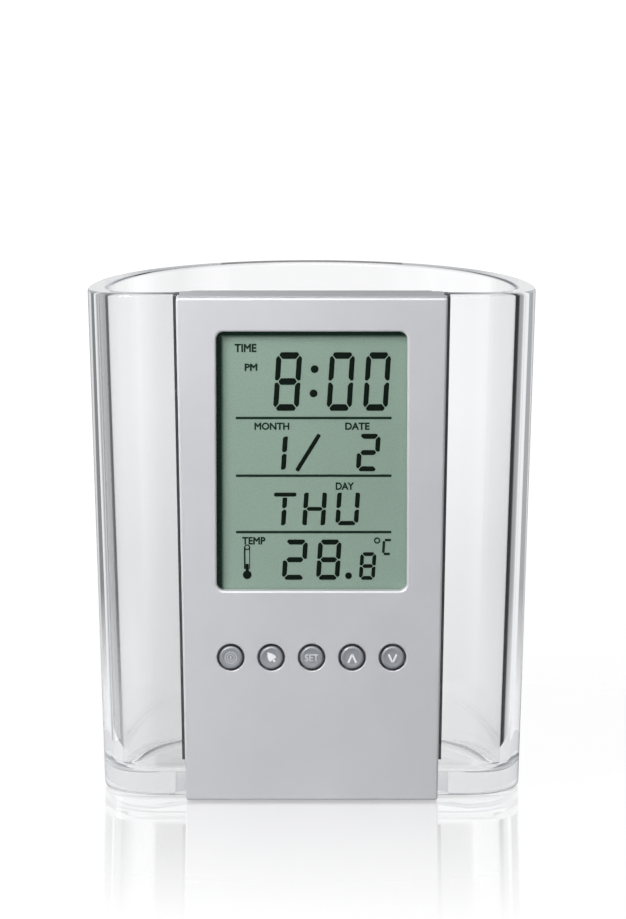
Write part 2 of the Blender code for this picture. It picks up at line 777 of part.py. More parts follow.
def main():
    clear_scene()
    clear = plastic("clear_plastic", (0.93, 0.95, 0.96), 0.04, alpha=0.35, transmission=1.0)
    silver = plastic("silver_plastic", (0.62, 0.62, 0.65), 0.38, metallic=0.25)
    dark = plastic("dark_plastic", (0.05, 0.05, 0.055), 0.5)
    cap = plastic("button_plastic", (0.42, 0.43, 0.45), 0.42, metallic=0.2)
    glass = plastic("lcd_glass", (0.26, 0.36, 0.30), 0.12)
    mirror = plastic("reflector_foil", (0.55, 0.62, 0.57), 0.35, metallic=0.6)
    white = plastic("white_plastic", (0.8, 0.8, 0.78), 0.5)
    grey_rubber = plastic("grey_rubber", (0.25, 0.25, 0.26), 0.8)
    board = plastic("board_laminate", (0.05, 0.22, 0.09), 0.45)
    resin = plastic("black_resin", (0.01, 0.01, 0.012), 0.3)
    steel = plastic("bright_steel", (0.6, 0.6, 0.6), 0.25, metallic=1.0)
    brass = plastic("spring_brass", (0.62, 0.48, 0.22), 0.3, metallic=1.0)

    make_cup(clear)

    clock = bpy.data.objects.new("clock_frame", None)
    bpy.context.scene.collection.objects.link(clock)
    clock.location = (0.0, panel_front_y, 0.0)

    make_bezel(silver, clock)
    make_housing(dark, clock)
    make_door(dark, clock)
    make_bridge(brass, clock)
    make_contact("contact_positive", 1, brass, clock)
    make_contact("contact_negative", -1, brass, clock)
    make_cell("battery_cell_left", -1, steel, clock)
    make_cell("battery_cell_right", 1, steel, clock)
    make_display(glass, mirror, white, grey_rubber, clock)
    make_board(board, clock)
    make_board_parts(resin, steel, resin, clock)
    make_sounder(brass, clock)
    make_pad(grey_rubber, clock)
    names = ("button_mode", "button_alarm", "button_set", "button_up", "button_down")
    for name, x in zip(names, button_places()):
        make_button(name, x, cap, clock)
    make_screws(steel, clock)


main()
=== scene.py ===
import math

import bmesh
import bpy
from mathutils import Matrix, Vector


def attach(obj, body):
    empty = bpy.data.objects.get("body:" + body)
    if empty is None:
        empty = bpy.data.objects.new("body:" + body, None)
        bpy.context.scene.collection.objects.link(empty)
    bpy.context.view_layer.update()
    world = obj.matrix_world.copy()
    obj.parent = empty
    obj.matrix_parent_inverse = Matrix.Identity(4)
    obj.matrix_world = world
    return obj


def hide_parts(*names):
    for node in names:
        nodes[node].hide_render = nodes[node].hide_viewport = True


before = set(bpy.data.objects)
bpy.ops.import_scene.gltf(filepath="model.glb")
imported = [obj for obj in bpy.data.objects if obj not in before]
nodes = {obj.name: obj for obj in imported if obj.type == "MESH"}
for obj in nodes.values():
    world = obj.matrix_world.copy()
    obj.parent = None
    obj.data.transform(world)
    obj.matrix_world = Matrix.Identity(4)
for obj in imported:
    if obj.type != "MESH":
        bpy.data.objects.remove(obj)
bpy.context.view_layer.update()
print("frame loaded:", len(nodes), "nodes")


# ---- small helpers for working by hand in code

def near(a, b, reach=0.000004):
    return abs(a - b) < reach


def startClean():
    if bpy.context.mode != "OBJECT":
        bpy.ops.object.mode_set(mode="OBJECT")
    bpy.ops.object.select_all(action="DESELECT")


def makeActive(piece):
    startClean()
    piece.select_set(True)
    bpy.context.view_layer.objects.active = piece


def pickNothing(kind):
    bpy.ops.mesh.select_mode(type=kind)
    bpy.ops.mesh.select_all(action="DESELECT")


def openMesh(piece, kind="FACE"):
    makeActive(piece)
    bpy.ops.object.mode_set(mode="EDIT")
    pickNothing(kind)


def pickParts(piece, kind, test):
    pickNothing(kind)
    shape = bmesh.from_edit_mesh(piece.data)
    for part in {"VERT": shape.verts, "EDGE": shape.edges, "FACE": shape.faces}[kind]:
        if test(part):
            part.select_set(True)
    bmesh.update_edit_mesh(piece.data)


def pickFaces(piece, test):
    pickParts(piece, "FACE", lambda face: test(face.calc_center_median(), face.normal))


def pickFacing(piece, axis, way):
    # faces that look along axis 0, 1 or 2 (x, y or z), to its plus (1) or minus (-1) end
    pickFaces(piece, lambda c, n: n[axis] * way > 0.9)


def pickEdges(piece, test):
    # only edges where two faces meet at a clear angle
    pickParts(piece, "EDGE", lambda edge: len(edge.link_faces) == 2
              and edge.calc_face_angle() > 0.4
              and test(edge.verts[0].co, edge.verts[1].co))


def pickEdgesAlongY(piece, alsoTest=lambda a, b: True, reach=0.000004):
    pickEdges(piece, lambda a, b: near(a.x, b.x, reach) and near(a.z, b.z, reach)
              and alsoTest(a, b))


def pickEdgesAt(piece, value, axis=1):
    # edges whose both ends lie at one y, or with axis 2 at one z
    pickEdges(piece, lambda a, b: near(a[axis], value) and near(b[axis], value))


def pickOpenEdges(piece):
    pickParts(piece, "EDGE", lambda edge: len(edge.link_faces) < 2)


def roundPicked(reach, steps):
    bpy.ops.mesh.bevel(offset=reach, segments=steps, affect="EDGES")


def pushPicked(distance):
    # draws the picked faces out along y
    bpy.ops.mesh.extrude_region_move(TRANSFORM_OT_translate={"value": (0, distance, 0)})


def stretchPicked(value, centre):
    bpy.ops.transform.resize(value=value, center_override=centre)


def closeMesh(piece):
    bpy.ops.mesh.select_all(action="SELECT")
    bpy.ops.mesh.remove_doubles(threshold=0.000001)
    bpy.ops.mesh.normals_make_consistent(inside=False)
    bpy.ops.object.mode_set(mode="OBJECT")


def settle(piece, name):
    # the place goes into the mesh, so the object itself sits at the origin
    piece.name = piece.data.name = name
    makeActive(piece)
    bpy.ops.object.transform_apply(location=True, rotation=True, scale=True)
    return piece


def addBlock(name, half, front, back, low, high):
    # half: how far it reaches to the left and to the right of the middle
    startClean()
    bpy.ops.mesh.primitive_cube_add(size=1, location=(0, (front + back) / 2, (low + high) / 2),
                                    scale=(half * 2, back - front, high - low))
    return settle(bpy.context.object, name)


def addRod(name, x, z, front, back, radius, around):
    startClean()
    bpy.ops.mesh.primitive_cylinder_add(vertices=around, radius=radius, depth=back - front,
                                        location=(x, (front + back) / 2, z),
                                        rotation=(math.pi / 2, 0, 0))
    return settle(bpy.context.object, name)


def boolean(piece, tool, operation="DIFFERENCE"):
    makeActive(piece)
    change = piece.modifiers.new("boolean", "BOOLEAN")
    change.operation = operation
    change.solver = "EXACT"
    change.object = tool
    bpy.ops.object.modifier_apply(modifier=change.name)
    bpy.data.objects.remove(tool, do_unlink=True)


def smoothOff(piece, degrees):
    makeActive(piece)
    bpy.ops.object.shade_smooth_by_angle(angle=math.radians(degrees))
    change = piece.modifiers.new("weighted", "WEIGHTED_NORMAL")
    change.keep_sharp = True
    bpy.ops.object.modifier_apply(modifier=change.name)


def copyOf(piece, name, place):
    fresh = bpy.data.objects.new(name, piece.data.copy())
    fresh.data.name = name
    fresh.data.transform(place)
    bpy.context.scene.collection.objects.link(fresh)
    return fresh


def joinPieces(pieces, name):
    startClean()
    for piece in pieces:
        piece.select_set(True)
    bpy.context.view_layer.objects.active = pieces[0]
    bpy.ops.object.join()
    whole = bpy.context.object
    whole.name = whole.data.name = name
    return whole


# ---- materials

def newFinish(name):
    finish = bpy.data.materials.new(name)
    finish.use_nodes = True
    tree = finish.node_tree
    shader = tree.nodes["Principled BSDF"]
    return finish, tree, shader


def fill(tree, node, parts):
    # parts: inputs by name or number, each a value, a colour or what comes out of another node
    for name, part in parts.items():
        socket = node.inputs[name]
        if isinstance(part, bpy.types.NodeSocket):
            tree.links.new(part, socket)
        else:
            socket.default_value = (*part, 1) if socket.type == "RGBA" else part
    return node.outputs


def addNode(tree, kind, parts, operation=None):
    node = tree.nodes.new("ShaderNode" + kind)
    if operation:
        node.operation = operation
    return fill(tree, node, parts)


def objectNoise(tree, scale, detail, stretch=(1, 1, 1)):
    place = addNode(tree, "TexCoord", {})["Object"]
    fit = addNode(tree, "Mapping", {"Vector": place, "Scale": stretch})["Vector"]
    return addNode(tree, "TexNoise", {"Vector": fit, "Scale": scale, "Detail": detail})["Fac"]


def spread(tree, value, low, high, fromLow=0.3, fromHigh=0.7):
    # from the range that noise mostly lies in, or another, to low and high
    return addNode(tree, "MapRange", {"Value": value, "From Min": fromLow, "From Max": fromHigh,
                                      "To Min": low, "To Max": high})["Result"]


def blend(tree, value, first, second, kind="RGBA"):
    mix = tree.nodes.new("ShaderNodeMix")
    mix.data_type = kind
    return fill(tree, mix, {"Factor": value, "A": first, "B": second})["Result"]


def maths(tree, operation, *values):
    return addNode(tree, "Math", dict(enumerate(values)), operation)["Value"]


def axesOf(tree, kind="Object"):
    return addNode(tree, "SeparateXYZ", {"Vector": addNode(tree, "TexCoord", {})[kind]})


def rampOf(tree, value, stops):
    # each stop: a place from 0 to 1 and a colour
    ramp = tree.nodes.new("ShaderNodeValToRGB")
    steps = ramp.color_ramp.elements
    for index, (spot, colour) in enumerate(stops):
        step = steps[index] if index < 2 else steps.new(spot)
        step.position = spot
        step.color = (*colour, 1)
    return fill(tree, ramp, {"Fac": value})["Color"]


def mixShaders(tree, factor, first, second):
    return addNode(tree, "MixShader", {0: factor, 1: first, 2: second})["Shader"]


def setSurface(tree, shader, end="Material Output"):
    fill(tree, tree.nodes[end], {"Surface": shader})


def bumpOf(tree, value, strength, distance):
    return addNode(tree, "Bump", {"Height": value, "Strength": strength,
                                  "Distance": distance})["Normal"]


def coat(tree, shader, colour, grain, look, relief=None):
    # a look's gloss is its range of roughness, its bump a strength and a depth
    fill(tree, shader, {
        "Base Color": colour, "Roughness": spread(tree, grain, *look["gloss"]),
        "Metallic": look.get("metal", 0.0), "Specular IOR Level": look.get("specular", 0.5),
        "Normal": bumpOf(tree, relief or grain, *look.get("bump", (0.15, 0.00002)))})


def grainFinish(name, first, second, look):
    # a moulded or painted surface: cloudy colour, fine grain in gloss and height
    finish, tree, shader = newFinish(name)
    clouds = objectNoise(tree, look["cloudScale"], 4.0)
    grain = objectNoise(tree, look["grainScale"], 2.0)
    coat(tree, shader, blend(tree, spread(tree, clouds, 0, 1), first, second), grain, look)
    return finish


clearPlasticLook = {
    "colour": (0.950, 0.952, 0.960), "ior": 1.49, "hazeScale": 900,
    "gloss": (0.0, 0.012), "rippleScale": 26,
    "rippleStretch": (1, 1, 0.4), "rippleBump": (0.03, 0.0002),
    "deepest": 2.5, "deepColour": (0.93, 0.94, 0.95),
    "shadowColour": (0.80, 0.81, 0.82), "paintedEdgeShade": (0.12, 0.125, 0.14),
    "paintedEdgeRange": (0.32, 0.76),
    # painted light and shade from left to right, in metres across: the plastic's colour is raised
    # or lowered band by band
    "across": [(-0.046, 0.99), (-0.0425, 0.99), (-0.0405, 1.03),
               (-0.0385, 1.04), (-0.0365, 1.01), (-0.034, 0.96),
               (-0.032, 0.943), (-0.0275, 0.943), (-0.022, 1.0), (0.022, 1.0),
               (0.027, 1.04), (0.031, 1.04), (0.035, 1.03), (0.0375, 1.02),
               (0.039, 0.985), (0.0405, 1.0), (0.046, 1.0)]}


def clearPlasticFinish():
    look = clearPlasticLook
    finish, tree, shader = newFinish("clearPlastic")
    ripple = objectNoise(tree, look["rippleScale"], 1.0, look["rippleStretch"])
    haze = objectNoise(tree, look["hazeScale"], 2.0)
    # painted shade: where one looks along the surface, the colour darkens, so the edges are drawn
    # by a painted dark line
    mirrored = addNode(tree, "Fresnel", {"IOR": look["ior"]})["Fac"]
    along = spread(tree, mirrored, 0, 1, *look["paintedEdgeRange"])
    colour = blend(tree, along, look["colour"], look["paintedEdgeShade"])
    # painted light and shade: the plastic's colour is multiplied by these shares, so bands across
    # x come out lighter or darker
    stops = look["across"]
    left, right = stops[0][0], stops[-1][0]
    paintedLightAndShade = rampOf(tree, spread(tree, axesOf(tree)["X"], 0, 1, left, right),
                       [((x - left) / (right - left), (share,) * 3) for x, share in stops])
    fill(tree, shader, {
        "Base Color": addNode(tree, "VectorMath", {0: colour, 1: paintedLightAndShade}, "MULTIPLY")["Vector"],
        "Roughness": spread(tree, haze, *look["gloss"]),
        "Transmission Weight": 1.0, "IOR": look["ior"],
        "Normal": bumpOf(tree, ripple, *look["rippleBump"])})
    # light caught between the faces goes straight on, and the shadow stays thin
    rays = addNode(tree, "LightPath", {})
    deep = maths(tree, "GREATER_THAN", rays["Glossy Depth"], look["deepest"])
    straight = addNode(tree, "BsdfRefraction", {"IOR": 1.0, "Color": look["deepColour"]})["BSDF"]
    thin = addNode(tree, "BsdfTransparent", {"Color": look["shadowColour"]})["BSDF"]
    caught = mixShaders(tree, deep, shader.outputs["BSDF"], straight)
    setSurface(tree, mixShaders(tree, rays["Is Shadow Ray"], caught, thin))
    return finish


silverLook = {"cloudScale": 60, "grainScale": 5200, "gloss": (0.36, 0.48),
              "metal": 0.35, "bump": (0.12, 0.00001)}
darkLook = {"cloudScale": 90, "grainScale": 4600, "gloss": (0.42, 0.6), "bump": (0.2, 0.000015)}
capLook = {"cloudScale": 300, "grainScale": 4200, "gloss": (0.28, 0.4),
           "metal": 0.3, "bump": (0.1, 0.00001)}
paintLook = {"cloudScale": 700, "grainScale": 5000, "gloss": (0.4, 0.55)}
inkLook = {"cloudScale": 900, "grainScale": 6000, "gloss": (0.5, 0.6), "specular": 0.06}
foilLook = {"cloudScale": 120, "grainScale": 2500, "gloss": (0.3, 0.45), "metal": 0.7}
whiteLook = {"cloudScale": 120, "grainScale": 3000, "gloss": (0.42, 0.56)}
rubberLook = {"cloudScale": 200, "grainScale": 2600, "gloss": (0.7, 0.9), "bump": (0.4, 0.00003)}
resinLook = {"cloudScale": 300, "grainScale": 1500, "gloss": (0.18, 0.35)}
steelLook = {"cloudScale": 400, "grainScale": 4000, "gloss": (0.18, 0.32), "metal": 1.0}
brassLook = {"cloudScale": 400, "grainScale": 4000, "gloss": (0.22, 0.38), "metal": 1.0}

silverPaint = grainFinish("silverPaint", (0.58, 0.58, 0.605), (0.61, 0.61, 0.635), silverLook)
darkPlastic = grainFinish("darkPlastic", (0.030, 0.031, 0.035), (0.042, 0.043, 0.048), darkLook)
capPlastic = grainFinish("capPlastic", (0.27, 0.28, 0.30), (0.31, 0.32, 0.34), capLook)
whitePrint = grainFinish("whitePrint", (0.82, 0.83, 0.84), (0.88, 0.88, 0.89), paintLook)
greyPrint = grainFinish("greyPrint", (0.55, 0.56, 0.58), (0.61, 0.62, 0.64), paintLook)
segmentInk = grainFinish("segmentInk", (0.0022, 0.0055, 0.0036), (0.0034, 0.008, 0.0052), inkLook)
ruleInk = grainFinish("ruleInk", (0.006, 0.018, 0.011), (0.009, 0.024, 0.015), inkLook)
reflectorFoil = grainFinish("reflectorFoil", (0.50, 0.56, 0.52), (0.56, 0.62, 0.58), foilLook)
whitePlastic = grainFinish("whitePlastic", (0.78, 0.78, 0.76), (0.82, 0.82, 0.80), whiteLook)
greyRubber = grainFinish("greyRubber", (0.20, 0.20, 0.21), (0.25, 0.25, 0.26), rubberLook)
blackResin = grainFinish("blackResin", (0.010, 0.010, 0.012), (0.018, 0.018, 0.020), resinLook)
brightSteel = grainFinish("brightSteel", (0.58, 0.58, 0.59), (0.66, 0.66, 0.67), steelLook)
springBrass = grainFinish("springBrass", (0.58, 0.44, 0.20), (0.66, 0.51, 0.25), brassLook)
clearPlastic = clearPlasticFinish()

displayLook = {
    # left, top, shade and soft place a painted shade band inside the window's left and top edges;
    # edge is its dark green
    "left": -0.0195, "top": 0.09805, "shade": 0.00125, "soft": 0.0003,
    "low": 0.04435, "green": (0.221, 0.305, 0.248),
    "greenLight": (0.258, 0.352, 0.290), "edge": (0.001, 0.026, 0.013),
    # the last two values paint light: the green is made lighter low down than at the top
    "cloudScale": 55, "cloudShare": 0.3, "paintedLightLow": 0.75, "paintedLightHigh": 0.05,
    "grainScale": 3000, "gloss": (0.22, 0.32), "specular": 0.25,
    "bump": (0.05, 0.00001)}


def displayFinish():
    # grey-green polariser; its left and top edges get a painted shade, where the panel's edge
    # keeps the light off it
    look = displayLook
    finish, tree, shader = newFinish("displayGreen")
    clouds = objectNoise(tree, look["cloudScale"], 3.0)
    grain = objectNoise(tree, look["grainScale"], 2.0)
    axes = axesOf(tree)
    # random clouds, plus painted light: the green is made lighter towards the bottom
    light = maths(tree, "ADD", spread(tree, clouds, 0, look["cloudShare"]),
                  spread(tree, axes["Z"], look["paintedLightLow"], look["paintedLightHigh"], look["low"],
                         look["top"]))
    green = blend(tree, light, look["green"], look["greenLight"])
    # painted shade: a dark green band inside the window's left and top edges
    left = look["left"] + look["shade"]
    top = look["top"] - look["shade"]
    shade = maths(tree, "MAXIMUM",
                  spread(tree, axes["X"], 1, 0, left - look["soft"], left + look["soft"]),
                  spread(tree, axes["Z"], 0, 1, top - look["soft"], top + look["soft"]))
    coat(tree, shader, blend(tree, shade, green, look["edge"]), grain, look)
    return finish


displayGreen = displayFinish()

boardLook = {
    "trackLength": 0.009, "trackPitch": 0.0016, "trackGap": 0.00022,
    "mask": (0.025, 0.13, 0.05), "maskLight": (0.03, 0.15, 0.06),
    "track": (0.06, 0.26, 0.11), "grainScale": 2500, "gloss": (0.3, 0.42), "bump": (0.3, 0.00003)}


def boardFinish():
    # solder mask with copper tracks that run under it
    look = boardLook
    finish, tree, shader = newFinish("boardLaminate")
    place = addNode(tree, "TexCoord", {})["Object"]
    flat = addNode(tree, "Mapping", {"Vector": place, "Rotation": (math.pi / 2, 0, 0)})["Vector"]
    tracks = addNode(tree, "TexBrick", {
        "Vector": flat, "Scale": 1.0, "Brick Width": look["trackLength"],
        "Row Height": look["trackPitch"], "Mortar Size": look["trackGap"],
        "Color1": look["mask"], "Color2": look["maskLight"], "Mortar": look["track"]})
    grain = objectNoise(tree, look["grainScale"], 2.0)
    coat(tree, shader, tracks["Color"], grain, look, tracks["Fac"])
    return finish


boardLaminate = boardFinish()
print("finishes ready")


# ---- the clear cup

cupSizes = {
    "height": 0.105, "topRadius": 0.0463, "baseRadius": 0.0433, "centreY": -0.015325,
    "frontY": -0.025125, "corner": 0.0112, "wall": 0.004, "floor": 0.0042,
    "floorFillet": 0.0026, "rimRound": 0.0007, "footRound": 0.0009,
    "slotCorner": 0.0006, "slotAbove": 0.015, "backSteps": 96, "cornerSteps": 18}
cutPast = 0.001  # how far a cutter reaches past what it cuts
# the clock widens a little upwards, and its neck runs in the slot
clockShape = {"half": 0.02666, "atHeight": 0.04085, "slope": 0.01624, "slotInset": 0.0015}


def clockHalf(height):
    return clockShape["half"] + clockShape["slope"] * (height - clockShape["atHeight"])


def slotHalf(height):
    return clockHalf(height) - clockShape["slotInset"]


def drawOutline(cup, height, inset):
    # one round of the wall: right front corner, the round back, left front corner, flat front
    size = cupSizes
    share = height / size["height"]
    back = size["baseRadius"] + (size["topRadius"] - size["baseRadius"]) * share - inset
    corner = size["corner"] - inset
    cornerY = size["frontY"] + inset + corner
    cornerX = math.sqrt((back - corner) ** 2 - (size["centreY"] - cornerY) ** 2)
    joinAngle = math.atan2(cornerY - size["centreY"], cornerX)
    pickNothing("VERT")
    shape = bmesh.from_edit_mesh(cup.data)
    first = shape.verts.new((cornerX, size["frontY"] + inset, height))
    first.select_set(True)
    bmesh.update_edit_mesh(cup.data)
    quarter = joinAngle + math.pi / 2
    sweep = math.pi - 2 * joinAngle
    for steps, angle, centre in ((size["cornerSteps"], quarter, (cornerX, cornerY, height)),
                                 (size["backSteps"], sweep, (0, size["centreY"], height)),
                                 (size["cornerSteps"], quarter, (-cornerX, cornerY, height))):
        bpy.ops.mesh.spin(steps=steps, angle=-angle, center=centre, axis=(0, 0, 1))
    # the flat front closes the round
    pickParts(cup, "VERT", lambda vert: len(vert.link_edges) == 1)
    bpy.ops.mesh.edge_face_add()


def makeCup():
    size = cupSizes
    startClean()
    cup = bpy.data.objects.new("clearCup", bpy.data.meshes.new("clearCup"))
    bpy.context.scene.collection.objects.link(cup)
    openMesh(cup, "VERT")
    drawOutline(cup, 0.0, 0.0)
    pickOpenEdges(cup)
    bpy.ops.mesh.edge_face_add()
    drawOutline(cup, size["height"], 0.0)
    pickOpenEdges(cup)
    bpy.ops.mesh.bridge_edge_loops()
    # the rim is an inset of the top, and the inside hangs from it
    pickOpenEdges(cup)
    bpy.ops.mesh.edge_face_add()
    pickFaces(cup, lambda c, n: near(c.z, size["height"]))
    bpy.ops.mesh.inset(thickness=size["wall"])
    bpy.ops.mesh.delete(type="ONLY_FACE")
    drawOutline(cup, size["floor"], size["wall"])
    pickOpenEdges(cup)
    bpy.ops.mesh.bridge_edge_loops()
    pickOpenEdges(cup)
    bpy.ops.mesh.edge_face_add()
    for height, reach, steps in ((0.0, size["footRound"], 5),
                                 (size["height"], size["rimRound"], 5),
                                 (size["floor"], size["floorFillet"], 9)):
        pickEdgesAt(cup, height, axis=2)
        roundPicked(reach, steps)
    closeMesh(cup)

    slotTop = size["height"] + size["slotAbove"]
    slot = addBlock("slotCutter", slotHalf(slotTop), size["frontY"] - cutPast,
                    size["frontY"] + size["wall"] + size["floorFillet"], size["floor"], slotTop)
    openMesh(slot)
    pickFacing(slot, 2, -1)
    stretchPicked((slotHalf(size["floor"]) / slotHalf(slotTop), 1, 1), (0, 0, size["floor"]))
    pickEdgesAlongY(slot, lambda a, b: near(a.z, size["floor"]))
    roundPicked(size["slotCorner"], 4)
    closeMesh(slot)
    boolean(cup, slot)
    smoothOff(cup, 30)
    return cup


clearCup = makeCup()
clearCup.data.materials.append(clearPlastic)
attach(clearCup, "cup")
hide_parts("cup_body")
print("cup made:", len(clearCup.data.polygons), "faces")


# ---- the silver front

frontSizes = {
    "bottom": 0.0003, "top": 0.105, "front": -0.030625, "panel": 0.002,
    "depth": 0.0052, "corner": 0.0006, "edge": 0.0005, "wall": 0.0015,
    "tongueLow": 0.1037, "tongueHalf": 0.02469, "tongueBack": -0.018625,
    "tongueRound": 0.0003, "ledgeHalf": 0.02585, "ledgeBack": -0.0212,
    "lipFront": 0.0009, "lipLow": 0.00003, "lipHigh": 0.00017, "lipRound": 0.0012,
    "windowHalf": 0.0195, "windowLow": 0.04435, "windowHigh": 0.09805,
    "windowCorner": 0.0016, "windowEdge": 0.0005, "buttonRow": 0.03044,
    "holeRadius": 0.0028, "holeEdge": 0.00028,
    "step": 0.0002}  # how far one block stands back from the next, so none share a face
buttonPlaces = [-0.01664, -0.00832, 0.0, 0.00832, 0.01664]


def flareFront(piece, reach, halfX, halfZ, middle, steps=4):
    # widens the front end of a cutter, so that what it cuts gets a rounded edge
    start = frontSizes["front"] + reach
    widthNow = 0.0
    for step in range(1, steps + 1):
        turn = math.pi / 2 * step / steps
        place = start - reach * math.sin(turn)
        width = reach * (1 - math.cos(turn))
        previous = start - reach * math.sin(math.pi / 2 * (step - 1) / steps)
        pickFaces(piece, lambda c, n: n.y < -0.9 and near(c.y, previous))
        pushPicked(place - previous)
        stretchPicked(((halfX + width) / (halfX + widthNow), 1,
                       (halfZ + width) / (halfZ + widthNow)), (middle[0], 0, middle[1]))
        widthNow = width
    pickFaces(piece, lambda c, n: n.y < -0.9 and near(c.y, start - reach))
    pushPicked(-cutPast)


def makeFront():
    size = frontSizes
    top, face, step = size["top"], size["front"], size["step"]
    front = addBlock("frontBezel", clockHalf(top), face, face + size["depth"], size["bottom"],
                     top)
    openMesh(front)
    pickFacing(front, 2, -1)
    stretchPicked((clockHalf(size["bottom"]) / clockHalf(top), 1, 1), (0, 0, size["bottom"]))
    pickFacing(front, 1, 1)
    bpy.ops.mesh.inset(thickness=size["wall"])
    pushPicked(size["panel"] - size["depth"])
    pickEdgesAlongY(front, lambda a, b: near(a.z, size["bottom"]) or near(a.z, top))
    roundPicked(size["corner"], 4)
    pickEdgesAt(front, face)
    roundPicked(size["edge"], 4)
    closeMesh(front)

    rootFront = face + size["panel"] / 2
    tongue = addBlock("tongue", size["tongueHalf"], rootFront, size["tongueBack"],
                      size["tongueLow"], top)
    openMesh(tongue)
    pickEdgesAt(tongue, size["tongueBack"])
    roundPicked(size["tongueRound"], 3)
    closeMesh(tongue)
    boolean(front, tongue, "UNION")
    ledge = addBlock("ledge", size["ledgeHalf"], rootFront, size["ledgeBack"],
                     size["tongueLow"] + step, top)
    boolean(front, ledge, "UNION")
    # a thin lip over the cup's rim carries the flat top out to the panel's full width
    lipTop = top + size["lipHigh"]
    root = addBlock("lipRoot", size["tongueHalf"] - step, face + size["lipFront"],
                    size["ledgeBack"] - step, size["tongueLow"] + 2 * step, lipTop)
    boolean(front, root, "UNION")
    half = clockHalf(top) - size["corner"]
    lip = addBlock("lip", half, face + size["lipFront"] - step, size["ledgeBack"],
                   top + size["lipLow"], lipTop - step / 10)
    openMesh(lip)
    pickEdges(lip, lambda a, b: near(a.x, b.x) and near(a.y, b.y) and a.y > face + size["panel"])
    roundPicked(size["lipRound"], 5)
    closeMesh(lip)
    boolean(front, lip, "UNION")

    middle = (size["windowLow"] + size["windowHigh"]) / 2
    tall = (size["windowHigh"] - size["windowLow"]) / 2
    cutBack = face + size["panel"] + cutPast
    window = addBlock("windowCutter", size["windowHalf"], face + size["windowEdge"], cutBack,
                      size["windowLow"], size["windowHigh"])
    openMesh(window)
    pickEdgesAlongY(window)
    roundPicked(size["windowCorner"], 8)
    flareFront(window, size["windowEdge"], size["windowHalf"], tall, (0, middle))
    closeMesh(window)
    boolean(front, window)

    for x in buttonPlaces:
        hole = addRod("holeCutter", x, size["buttonRow"], face + size["holeEdge"], cutBack,
                      size["holeRadius"], 56)
        openMesh(hole)
        flareFront(hole, size["holeEdge"], size["holeRadius"], size["holeRadius"],
                   (x, size["buttonRow"]), 3)
        closeMesh(hole)
        boolean(front, hole)
    return front


# each pair of posts: how far aside, z, back end, radius and pilot's radius
postSizes = {
    "front": -0.0298, "deep": 0.8,
    "pairs": [(0.02075, 0.037695, -0.023825, 0.0021, 0.00105),
              (0.02024, 0.009, -0.023825, 0.0021, 0.00105),
              (0.012, 0.037695, -0.024925, 0.0017, 0.00085)]}


def makePosts():
    # screw posts behind the panel: a boss with a blind pilot hole
    size = postSizes
    made = []
    for aside, z, back, radius, pilot in size["pairs"]:
        for x in (-aside, aside):
            post = addRod("post", x, z, size["front"], back, radius, 40)
            openMesh(post)
            pickFacing(post, 1, 1)
            bpy.ops.mesh.inset(thickness=radius - pilot)
            pushPicked((size["front"] - back) * size["deep"])
            closeMesh(post)
            made.append(post)
    return made


frontBezel = makeFront()
for post in makePosts():
    boolean(frontBezel, post, "UNION")
smoothOff(frontBezel, 32)
frontBezel.data.materials.append(silverPaint)
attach(frontBezel, "clock")
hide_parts("front_bezel")
print("front made:", len(frontBezel.data.polygons), "faces")


# ---- the five buttons and what is printed on them

# rings: each step of the hollow front, as shares of the lip's width and the dish's depth
buttonSizes = {
    "front": -0.030975, "radius": 0.00235, "edge": 0.00045, "lip": 0.00042,
    "dish": 0.00016, "rings": ((0.45, 0), (0.55, 0.7), (0.6, 0.3)),
    "collarFront": -0.028325, "collarBack": -0.027525, "collar": 0.00315,
    "collarStep": 0.00001, "around": 64}


def makeCap():
    size = buttonSizes
    z = frontSizes["buttonRow"]
    cap = addRod("capModel", 0, z, size["front"], size["collarFront"], size["radius"],
                 size["around"])
    openMesh(cap)
    pickEdgesAt(cap, size["front"])
    roundPicked(size["edge"], 5)
    pickFaces(cap, lambda c, n: n.y < -0.98 and near(c.y, size["front"]))
    for across, deep in size["rings"]:
        bpy.ops.mesh.inset(thickness=size["lip"] * across, depth=-size["dish"] * deep)
    # the collar behind the panel keeps the cap in
    pickFacing(cap, 1, 1)
    pushPicked(size["collarStep"])
    share = size["collar"] / size["radius"]
    stretchPicked((share, 1, share), (0, 0, z))
    pushPicked(size["collarBack"] - size["collarFront"])
    closeMesh(cap)
    smoothOff(cap, 40)
    return cap


# a print stands a hair proud of the face it is on and reaches a hair into it
printSizes = {
    "face": buttonSizes["front"] + buttonSizes["dish"], "proud": 0.00003,
    "root": 0.00002, "dialOuter": (0.00125, 0.0011), "dialInner": (0.00078, 0.00066),
    "dialHand": (0.0008, 0.00022, 90), "wordLow": 0.00072, "wordTall": 0.00146,
    "wordWide": 0.92, "wordBold": 0.03, "bellUp": 0.0001, "armAside": 0.00042,
    "armDown": 0.0002, "arm": (0.0020, 0.00042), "armTurn": 66}
bellSizes = {
    "radius": 0.0009, "flare": 0.55, "tall": 1.15, "mouth": -0.00072, "crown": 0.82,
    "whole": 0.92, "clapperLow": -0.00098, "clapper": 0.00026, "knobHigh": 0.00105,
    "knob": 0.0002, "tilt": -38}


def printDepths(face):
    return face - printSizes["proud"], face + printSizes["root"]


def printPiece(name, pieces, finish, body):
    whole = joinPieces(pieces, name) if len(pieces) > 1 else pieces[0]
    whole.name = whole.data.name = name
    whole.data.materials.clear()
    whole.data.materials.append(finish)
    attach(whole, body)


def setTurned(piece, x, z, degrees):
    # turned about y in the plane of the print, then set at x, z
    turn = Matrix.Rotation(math.radians(degrees), 4, "Y")
    piece.data.transform(Matrix.Translation((x, 0, z)) @ turn)


